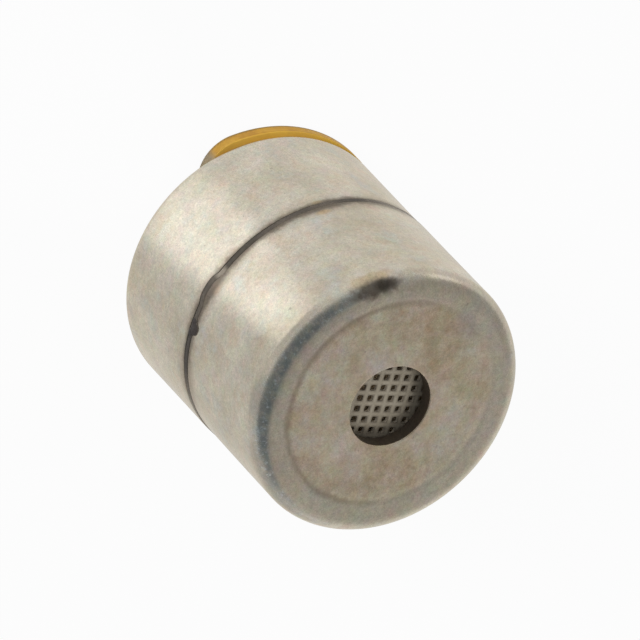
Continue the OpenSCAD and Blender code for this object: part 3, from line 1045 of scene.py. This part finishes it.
def plate(name, node, slot, loop, low, high, holes=(), edge_low=(0.004, 0.004), edge_high=(0.004, 0.004)):
    """A flat piece. loop(inset) gives its outline, and an edge is the (inset, height) of its rounding."""
    quarter = [math.pi / 10 * i for i in range(6)]
    support = 0.01

    def rounded(edge, level, way):
        """(inset, height) rows from the flat to the wall. An edge of 0 stays sharp."""
        inset, height = edge
        if not inset:
            return [(support, level), (0, level)]
        rows = [(inset * (1 - math.sin(t)), level + way * height * (1 - math.cos(t))) for t in quarter]
        return [(inset + support, level)] + rows

    levels = rounded(edge_low, low, 1) + rounded(edge_high, high, -1)[::-1]
    form = bmesh.new()

    def add_loop(points, z):
        corners = [form.verts.new((x, y, z)) for x, y in points]
        return corners, [form.edges.new((corners[i - 1], corners[i])) for i in range(len(corners))]

    def join(below, above):
        for i in range(len(below)):
            form.faces.new((below[i - 1], below[i], above[i], above[i - 1]))

    loops = [add_loop(loop(inset), z) for inset, z in levels]
    for below, above in zip(loops, loops[1:]):
        join(below[0], above[0])
    caps = [list(loops[0][1]), list(loops[-1][1])]
    for x, y, radius in holes:
        around = circle_loop(radius, x, y, SMALL_ROUND)
        ends = [add_loop(around, low), add_loop(around, high)]
        join(ends[1][0], ends[0][0])
        for cap, end in zip(caps, ends):
            cap += end[1]
    for cap in caps:
        bmesh.ops.triangle_fill(form, use_beauty=True, edges=cap)
    bmesh.ops.recalc_face_normals(form, faces=form.faces)
    for face in form.faces:
        face.smooth = True
    mesh = bpy.data.meshes.new(name)
    form.to_mesh(mesh)
    form.free()
    mesh.transform(Matrix.Scale(MM, 4))
    mesh.materials.append(MATERIALS[slot])
    piece = new_object(name, mesh)
    settle(piece, node)


def circle_loop(radius, x=0.0, y=0.0, count=192):
    turns = [2 * math.pi * i / count for i in range(count)]
    return [(x + radius * math.cos(t), y + radius * math.sin(t)) for t in turns]


def arc_points(x, y, radius, start, end, steps):
    angles = [start + (end - start) * i / steps for i in range(steps + 1)]
    return [(x + radius * math.cos(a), y + radius * math.sin(a)) for a in angles]


def board_loop(inset):
    """A circle with one flat, each corner an arc that meets both smoothly."""
    corner = BOARD_CORNER - inset
    corner_y = BOARD_LOW.y + BOARD_CORNER
    corner_x = math.sqrt((CASE_R - BOARD_CORNER) ** 2 - corner_y ** 2)
    meet = math.atan2(corner_y, corner_x)
    right = arc_points(corner_x, corner_y, corner, -math.pi / 2, meet, steps=24)
    round_edge = arc_points(0, 0, CASE_R - inset, meet, math.pi - meet, steps=180)[1:-1]
    left = arc_points(-corner_x, corner_y, corner, math.pi - meet, 1.5 * math.pi, steps=24)
    return right + round_edge + left


def pad_loop(x, y, width, length, corner):
    """A rectangle with rounded corners round a terminal."""
    def loop(inset):
        least = 0.012
        r = max(corner - inset, least)
        reach_x = width / 2 - inset - r
        reach_y = length / 2 - inset - r
        points = []
        for turn, (side_x, side_y) in enumerate(((1, 1), (-1, 1), (-1, -1), (1, -1))):
            start = turn * math.pi / 2
            centre_x = x + side_x * reach_x
            centre_y = y + side_y * reach_y
            points += arc_points(centre_x, centre_y, r, start, start + math.pi / 2, steps=10)
        return points
    return loop


# The capsule


def front_lean(radius, height):
    """Full lean at the front cup's rim, none at its shoulder."""
    return min(1, max(0, (FRONT_Z - FRONT_CORNER - height) / (FRONT_Z - FRONT_CORNER - SEAM_Z)))


def rear_lean(radius, height):
    """Full lean at the seam, none at the rear corner or at the end of the neck."""
    if height <= SEAM_Z:
        return max(0, (height - REAR_Z - REAR_CORNER) / (SEAM_Z - REAR_Z - REAR_CORNER))
    return max(0, (SUBSTRATE_LOW.z - height) / (SUBSTRATE_LOW.z - SEAM_Z))


def front_shift(radius, height):
    """The coined ring sits off centre, and the rim stands a little proud on one side."""
    if height > FRONT_Z - SURFACE:
        from_ring = abs(radius - COINED_R)
        return COINED_SHIFT * min(1, max(0, (COINED_REACH - from_ring) / COINED_FADE))
    return beside_camera(-90) * RIM_STAND * front_lean(radius, height) ** 2


def rear_shift(radius, height):
    """The rim stands a little proud on the other side, and the neck stays upright."""
    if radius > NECK_R + SURFACE:
        return beside_camera(90) * RIM_STAND * rear_lean(radius, height) ** 2
    return no_shift(radius, height)


def outer_wall(radius, height):
    """Dents only reach the outside of the straight wall."""
    straight = REAR_Z + REAR_CORNER < height < FRONT_Z - FRONT_CORNER
    return 1.0 if straight and radius > CASE_R - SURFACE else 0.0


def seal_wall(radius, height):
    return 1.0 if radius > CASE_R - SEAL_DEPTH else 0.0


def build_case():
    rim_z = SEAM_Z + SEAM_GAP / 2
    turned(
        "front_shell", "front_cup", "front_steel",
        [
            (RIM_R, rim_z, RIM_EDGE),
            (CASE_R, FRONT_Z, FRONT_CORNER),
            (COINED_R + COINED_W / 2, FRONT_Z, COINED_EDGE),
            (COINED_R, FRONT_Z - COINED_DEPTH, COINED_BOTTOM),
            (COINED_R - COINED_W / 2, FRONT_Z, COINED_EDGE),
            (PORT_R, FRONT_Z, PORT_EDGE),
            (PORT_R, FACE_Z, FINE_EDGE),
            (BORE_R, FACE_Z, INNER_CORNER),
            (BORE_R, rim_z, FINE_EDGE),
        ],
        lean=front_lean, shift=front_shift, dent=outer_wall, dent_depth=DENT_DEPTH, dent_size=DENT_SIZE,
        seed=3.0,
    )
    step_z = SEAM_Z - SEAM_GAP / 2
    top_z = SUBSTRATE_LOW.z
    turned(
        "rear_shell", "rear_cup", "rear_steel",
        [
            (0, REAR_Z),
            (CASE_R, REAR_Z, REAR_CORNER),
            (RIM_R, step_z, RIM_EDGE),
            (NECK_R, step_z, NECK_EDGE),
            (NECK_R, top_z, FINE_EDGE),
            (NECK_BORE_R, top_z, FINE_EDGE),
            (NECK_BORE_R, NECK_Z + NECK_STEP),
            (BORE_R, NECK_Z),
            (BORE_R, FLOOR_Z, INNER_CORNER),
            (0, FLOOR_Z),
        ],
        closed=False, lean=rear_lean, shift=rear_shift, dent=outer_wall, dent_depth=DENT_DEPTH,
        dent_size=DENT_SIZE, seed=8.0,
        drill={
            "count": len(TERMINALS),
            "pitch": PAD_PITCH * MM,
            "row": Vector((-PAD_PITCH, LEAD_ROW, (REAR_Z + FLOOR_Z) / 2)) * MM,
            "radius": BEAD_R * MM,
            "depth": 3 * CASE_WALL * MM,
        },
    )
    seal_bore = NECK_R / math.cos(math.radians(SEAM_TILT)) + SEAL_CLEARANCE
    turned(
        "seam_adhesive", "joint_seal", "adhesive",
        ring_section(SEAL_R, seal_bore, step_z, rim_z, edge=SEAL_EDGE),
        lean=everywhere, dent=seal_wall, dent_depth=0.012, dent_size=0.3, seed=5.0,
    )


def build_lumps():
    """Adhesive that was squeezed out of the seam: each lump's angle from the camera, rise and size."""
    lumps = [(37, 0.045, 0.06), (34.5, 0.015, 0.042), (39.5, 0, 0.04)]
    sunk = 0.008
    centre_r = CASE_R - sunk
    points = []
    for angle, rise, size in lumps:
        point = beside_camera(angle) * centre_r
        point.z = seam_height(angle, centre_r) + rise
        points.append(point * MM)
    mesh = bpy.data.meshes.new("seam_lumps")
    mesh.from_pydata(points, [], [])
    sizes = mesh.attributes.new("size", "FLOAT", "POINT").data
    for value, (_, _, size) in zip(sizes, lumps):
        value.value = size * MM
    piece = new_object("seam_lumps", mesh)
    add_tree(
        piece, LUMPS, flatness=0.3, unevenness=0.014 * MM, grain=0.03 * MM, seed=2.0,
        material=MATERIALS["adhesive"],
    )
    settle(piece, None, sharp=180)


def build_port():
    piece = new_object("mesh_screen", bpy.data.meshes.new("mesh_screen"))
    open_r = PORT_R + SCREEN_MARGIN
    add_tree(
        piece, ETCHED, disc_radius=SCREEN_R * MM, thickness=(SCREEN_HIGH.z - SCREEN_LOW.z) * MM,
        rows=2 * math.ceil(open_r / SCREEN_PITCH) + 1, pitch=SCREEN_PITCH * MM,
        hole_width=SCREEN_HOLE * MM, hole_corner=SCREEN_HOLE_CORNER * MM,
        open_radius=open_r * MM, turn=math.radians(SCREEN_TURN),
        shift=SCREEN_SHIFT * MM, place=Vector((0, 0, SCREEN_LOW.z)) * MM,
        material=MATERIALS["screen_nickel"],
    )
    settle(piece, "port_screen")
    turned("screen_glue", "screen_bond", "adhesive",
           ring_section(SCREEN_R, SCREEN_R - BOND_W, SCREEN_HIGH.z, FACE_Z))


def build_stack():
    """The capacitor and the amplifier, from the film down to the ceramic."""
    turned("film_ring", "diaphragm_ring", "brass", [
        (RING_BORE_R, RING_LOW.z, FINE_EDGE),
        (STACK_R, RING_LOW.z, FINE_EDGE),
        (STACK_R, RING_HIGH.z - RING_BEVEL, FINE_EDGE),
        (STACK_R - RING_BEVEL, RING_HIGH.z, FINE_EDGE),
        (RING_BORE_R, RING_HIGH.z, FINE_EDGE),
    ])
    turned("gold_film", "diaphragm", "metallised_film",
           disc_section(STACK_R, FILM_LOW.z, FILM_HIGH.z, edge=0.003), closed=False)
    turned("spacer", "gap_spacer", "amber_film",
           ring_section(STACK_R, RING_BORE_R, SPACER_LOW.z, SPACER_HIGH.z, edge=0.005))
    holder_bore = GATE_R + GATE_CLEARANCE
    seat_r = PLATE_R + PLATE_CLEARANCE
    turned("plate_holder", "backplate_holder", "ivory_plastic", [
        (holder_bore, SUBSTRATE_HIGH.z, FINE_EDGE),
        (STACK_R, SUBSTRATE_HIGH.z, FINE_EDGE),
        (STACK_R, SPACER_LOW.z, FINE_EDGE),
        (seat_r, SPACER_LOW.z, FINE_EDGE),
        (seat_r, BACKPLATE_LOW.z),
        (holder_bore, BACKPLATE_LOW.z, FINE_EDGE),
    ])
    turned("contact_ring", "gate_ring", "copper",
           ring_section(GATE_R, GATE_R - GATE_W, SUBSTRATE_HIGH.z, BACKPLATE_LOW.z, edge=0.012))
    vents = [(x, y, VENT_R) for x, y in circle_loop(VENT_ROW_R, count=VENT_COUNT)]
    for name, node, slot, low, high in (
        ("vented_plate", "backplate", "backplate_nickel", BACKPLATE_LOW, BACKPLATE_HIGH),
        ("charged_film", "electret_layer", "clear_film", ELECTRET_LOW, ELECTRET_HIGH),
    ):
        plate(name, node, slot, lambda inset: circle_loop(PLATE_R - inset), low.z, high.z, vents)
    reliefs = [(x, RELIEF_Y, RELIEF_R) for x in (-RELIEF_X, RELIEF_X)]
    plate("ceramic_disc", "amplifier_substrate", "white_ceramic",
          lambda inset: circle_loop(SUBSTRATE_HIGH.x - inset), SUBSTRATE_LOW.z, SUBSTRATE_HIGH.z, reliefs)


def build_terminals():
    lead_holes = [(x, LEAD_ROW, LEAD_HOLE) for x in TERMINALS.values()]
    plate("amber_end", "terminal_board", "amber_board", board_loop, BOARD_LOW.z, BOARD_HIGH.z, lead_holes,
          edge_low=(0.018, 0.018), edge_high=(0.008, 0.008))
    pad_w = PAD_HIGH.x - PAD_LOW.x
    pad_len = PAD_HIGH.y - PAD_LOW.y
    solder_w = SOLDER_HIGH.x - SOLDER_LOW.x
    solder_len = SOLDER_HIGH.y - SOLDER_LOW.y
    solder_corner = PAD_CORNER - (pad_w - solder_w) / 2
    for name, x in TERMINALS.items():
        plate(name + "_land", name + "_pad", "pad_gold", pad_loop(x, PAD_ROW, pad_w, pad_len, PAD_CORNER),
              PAD_LOW.z, PAD_HIGH.z, [(x, LEAD_ROW, LEAD_HOLE)])
        plate(name + "_tinning", name + "_solder", "solder",
              pad_loop(x, PAD_ROW, solder_w, solder_len, solder_corner),
              SOLDER_LOW.z, SOLDER_HIGH.z, edge_low=(0.07, 0.045), edge_high=(0.0, 0.0))
        turned(name + "_wire", name + "_lead", "tinned_wire",
               disc_section(LEAD_R, LEAD_LOW.z, LEAD_HIGH.z, FINE_EDGE), closed=False,
               segments=SMALL_ROUND, place=(x, LEAD_ROW, 0))
        turned(name + "_glass", name + "_bead", "bead_glass",
               ring_section(BEAD_R, LEAD_R, BEAD_LOW.z, BEAD_HIGH.z, edge=0.012), segments=64,
               place=(x, LEAD_ROW, 0))


def finish_carried_nodes():
    """Inner blocks whose CAD shape is already right get their finish."""
    for node, slot in (
        ("transistor_die", "silicon"),
        ("filter_capacitor", "capacitor_ceramic"),
        ("coupling_capacitor", "capacitor_ceramic"),
    ):
        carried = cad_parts[node]
        for place in carried.material_slots:
            place.material = MATERIALS[slot]


build_case()
build_lumps()
build_port()
build_stack()
build_terminals()
finish_carried_nodes()


# Studio


def white_floor():
    """White floor that camera and reflections see as lit paper, with the capsule's faint shadow."""
    half = 300 * MM
    drop = 0.001 * MM
    mesh = bpy.data.meshes.new("floor")
    corners = [(-half, -half), (half, -half), (half, half), (-half, half)]
    mesh.from_pydata([(x, y, -drop) for x, y in corners], [], [(0, 1, 2, 3)])
    material = bpy.data.materials.new("floor_paper")
    material.use_nodes = True
    nodes = Nodes(material.node_tree)
    nodes.tree.nodes.clear()
    path = nodes.add("ShaderNodeLightPath").outputs
    place = nodes.add("ShaderNodeTexCoord").outputs["Object"]
    from_pool = nodes.vector("DISTANCE", place, tuple(beside_camera(POOL_ANGLE) * POOL_REACH * MM))
    pool = nodes.fade(from_pool, 2.4 * MM, 1.3 * MM)
    lit_share = nodes.math("MULTIPLY_ADD", pool, 0.045, 0.95)
    seen = nodes.overlap(path["Is Camera Ray"], lit_share)
    # Painted shade: reflections see the floor darker towards one side, away from the soft box
    aside = nodes.across(place, 65)
    near_shade = nodes.fade(aside, 1.2 * MM, 1.9 * MM)
    far_shade = nodes.fade(aside, 2.8 * MM, 3.5 * MM)
    mirror_share = nodes.math("MULTIPLY_ADD", near_shade, -0.24, 0.64)
    mirror_share = nodes.math("MULTIPLY_ADD", far_shade, -0.1, mirror_share)
    mirrored = nodes.math("ADD", path["Is Glossy Ray"], path["Is Transmission Ray"])
    share = nodes.math("ADD", nodes.overlap(mirrored, mirror_share), seen)
    paper = nodes.out("ShaderNodeBsdfDiffuse", {"Color": (0.85, 0.85, 0.85, 1)})
    white = nodes.math("MULTIPLY_ADD", nodes.overlap(pool, path["Is Camera Ray"]), -0.025, 1.0)
    glow = nodes.out("ShaderNodeEmission", {"Color": (1, 1, 1, 1), "Strength": white})
    mixed = nodes.out("ShaderNodeMixShader", {0: share, 1: paper, 2: glow})
    nodes.add("ShaderNodeOutputMaterial", {"Surface": mixed})
    mesh.materials.append(material)
    new_object("floor", mesh)


def studio_world():
    """A bright horizon that dims towards the ceiling, with the dark of the room behind the camera."""
    world = bpy.data.worlds.new("soft_studio")
    world.use_nodes = True
    nodes = Nodes(world.node_tree)
    nodes.tree.nodes.clear()
    way = nodes.add("ShaderNodeTexCoord").outputs["Generated"]
    height = nodes.add("ShaderNodeSeparateXYZ", {"Vector": way}).outputs["Z"]
    greys = [(0.0, 0.82), (0.35, 0.62), (0.72, 0.5), (1.0, 0.43)]
    colour = nodes.tones(height, *[(position, (grey,) * 3) for position, grey in greys])

    def towards(side, elevation, start, end):
        """1 around a direction, fading out to 0 away from it."""
        centre = tuple(raised(beside_camera(side), elevation))
        return nodes.fade(nodes.vector("DOT_PRODUCT", way, centre), start, end)

    low_edge = nodes.vector("DOT_PRODUCT", way, (*(beside_camera(70) * 0.25).xy, 1))
    dark = nodes.overlap(
        towards(40, 40, 0.4, 0.75), nodes.fade(low_edge, 0.17, 0.58), nodes.fade(height, 1.03, 0.92)
    )
    dim = towards(-130, 32, 0.8, 0.94)
    colour = nodes.blend(dark, colour, (0.27, 0.29, 0.305))
    colour = nodes.blend(dim, colour, (0.42, 0.42, 0.42))
    light = nodes.out("ShaderNodeBackground", {"Color": colour, "Strength": 1.0})
    nodes.add("ShaderNodeOutputWorld", {"Surface": light})
    bpy.context.scene.world = world


def lamp(name, kind, side, elevation, distance, aim, energy, **settings):
    """A lamp on a side of the aim and at an elevation, that points at the aim in millimetres."""
    data = bpy.data.lights.new(name, kind)
    data.energy = energy
    for setting, value in settings.items():
        setattr(data, setting, value)
    away = raised(side, elevation)
    place = bpy.data.objects.new(name, data)
    place.location = (Vector(aim) + away * distance) * MM
    place.rotation_mode = "QUATERNION"
    place.rotation_quaternion = (-away).to_track_quat("-Z", "Y")
    place.visible_camera = False
    bpy.context.scene.collection.objects.link(place)
    return place


def studio_lamps():
    """A broad soft lamp, a fill on the camera's side, and a small lamp that lights the floor in front."""
    middle = (0, 0, 1.4)
    lamp("soft_box", "AREA", beside_camera(-97), elevation=3, distance=400, aim=middle, energy=0.048,
         shape="DISK", size=0.2)
    pool_side = beside_camera(POOL_ANGLE)
    pool = lamp("floor_pool", "SPOT", pool_side, elevation=62, distance=90, aim=pool_side * POOL_REACH,
                energy=0.44, spot_size=math.radians(1.5), spot_blend=0.5, shadow_soft_size=0.2 * MM)
    pool.scale.y = 1.35
    fill = lamp("fill", "AREA", beside_camera(10), elevation=35, distance=200, aim=middle, energy=0.13,
                shape="DISK", size=0.06)
    for soft in (pool, fill):
        soft.visible_glossy = False


def photo_camera():
    """The camera stands where the photograph was taken, rolled as it was."""
    bearing = heading(CAMERA_BEARING)
    roll = math.radians(CAMERA_ROLL)
    back = raised(bearing, CAMERA_ELEVATION)
    level = Vector((-bearing.y, bearing.x, 0))
    up = back.cross(level)
    right = level * math.cos(roll) + up * math.sin(roll)
    top = up * math.cos(roll) - level * math.sin(roll)
    aim = Vector((0, 0, AIM_Z)) + right * AIM_RIGHT + top * AIM_UP
    data = bpy.data.cameras.new("camera")
    data.sensor_width = 36
    data.lens = CAMERA_LENS
    data.clip_start = 10 * MM
    data.clip_end = 2
    camera = bpy.data.objects.new("camera", data)
    bpy.context.scene.collection.objects.link(camera)
    turn = Matrix((right, top, back)).transposed().to_4x4()
    camera.matrix_world = Matrix.Translation((aim + back * CAMERA_DISTANCE) * MM) @ turn
    bpy.context.scene.camera = camera


white_floor()
studio_world()
studio_lamps()
photo_camera()
bpy.context.scene.view_settings.view_transform = "Standard"
